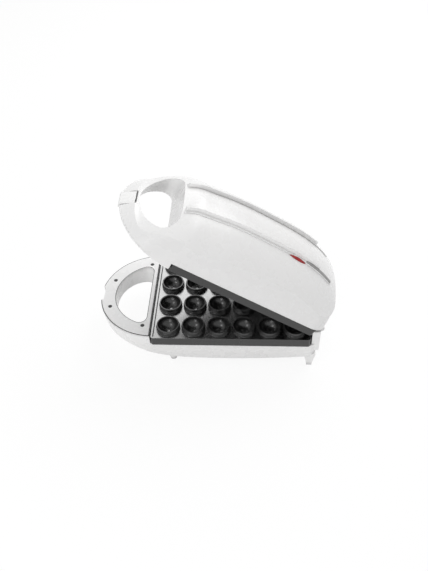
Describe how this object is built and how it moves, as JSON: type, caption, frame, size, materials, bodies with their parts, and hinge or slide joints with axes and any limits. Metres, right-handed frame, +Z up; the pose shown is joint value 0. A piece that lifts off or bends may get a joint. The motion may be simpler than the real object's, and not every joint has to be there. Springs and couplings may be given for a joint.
{
  "type": "electric nut cookie maker",
  "caption": "Countertop electric maker for nut shaped cookies: hinged crowned lid with loop handle and latch, dark cast plates of round cups and domes.",
  "frame": {"origin": "middle of the grid of cups, on the cup plate's flat face, where the two plates meet", "axes": "+X from the handles to the hinge, +Y across the plates, +Z up from the worktop"},
  "size_m": [0.362, 0.1832, 0.2621],
  "materials": {
    "white_plastic": "moulded white plastic, gloss",
    "plate_coating": "cast aluminium with a dark non-stick coating, satin",
    "zinc_steel": "zinc plated steel",
    "element_sheath": "heat darkened steel sheath",
    "tray_aluminium": "pressed sheet",
    "red_lens": "clear red moulded plastic",
    "lamp_glass": "clear bulb",
    "inner_plastic": "heat resisting moulded plastic",
    "black_plastic": "matt",
    "lead_insulation": "silicone insulation",
    "foot_rubber": "grey rubber",
    "bush_brass": "plain"
  },
  "bodies": {
    "base": {"base_shell": "white_plastic", "base_handle_cover": "white_plastic", "base_handle_screws": "zinc_steel", "base_plate_screws": "zinc_steel", "cup_plate": "plate_coating", "lower_element": "element_sheath", "lower_element_clamps": "zinc_steel", "lower_clamp_screws": "zinc_steel", "lower_reflector": "tray_aluminium", "thermostat": "zinc_steel", "thermal_fuse": "inner_plastic", "terminal_block": "inner_plastic", "cord_gland": "black_plastic", "base_leads": "lead_insulation", "crossing_lead": "lead_insulation", "front_feet": "foot_rubber", "rear_feet": "foot_rubber", "hinge_pins": "zinc_steel"},
    "lid": {"lid_shell": "white_plastic", "lid_handle_cover": "white_plastic", "lid_handle_screws": "zinc_steel", "lid_plate_screws": "zinc_steel", "dome_plate": "plate_coating", "upper_element": "element_sheath", "upper_element_clamps": "zinc_steel", "upper_clamp_screws": "zinc_steel", "upper_reflector": "tray_aluminium", "front_rail": "white_plastic", "rear_rail": "white_plastic", "red_lens": "red_lens", "lamp_holder": "inner_plastic", "neon_lamp": "lamp_glass", "lid_leads": "lead_insulation", "hinge_bushes": "bush_brass", "latch_pin": "zinc_steel", "latch_spring": "zinc_steel"},
    "latch": {"latch": "white_plastic"}
  },
  "joints": [
    {"name": "lid_hinge", "type": "hinge", "parent": "base", "child": "lid", "pos_m": [0.132, 0, 0.006], "axis": [0, 1, 0], "range_deg": [-33, 62]},
    {"name": "latch_pivot", "type": "hinge", "parent": "lid", "child": "latch", "pos_m": [-0.13981, 0, 0.18693], "axis": [0, 1, 0], "range_deg": [-7.5, 10], "stiffness_Nm_per_rad": 0.02}
  ]
}
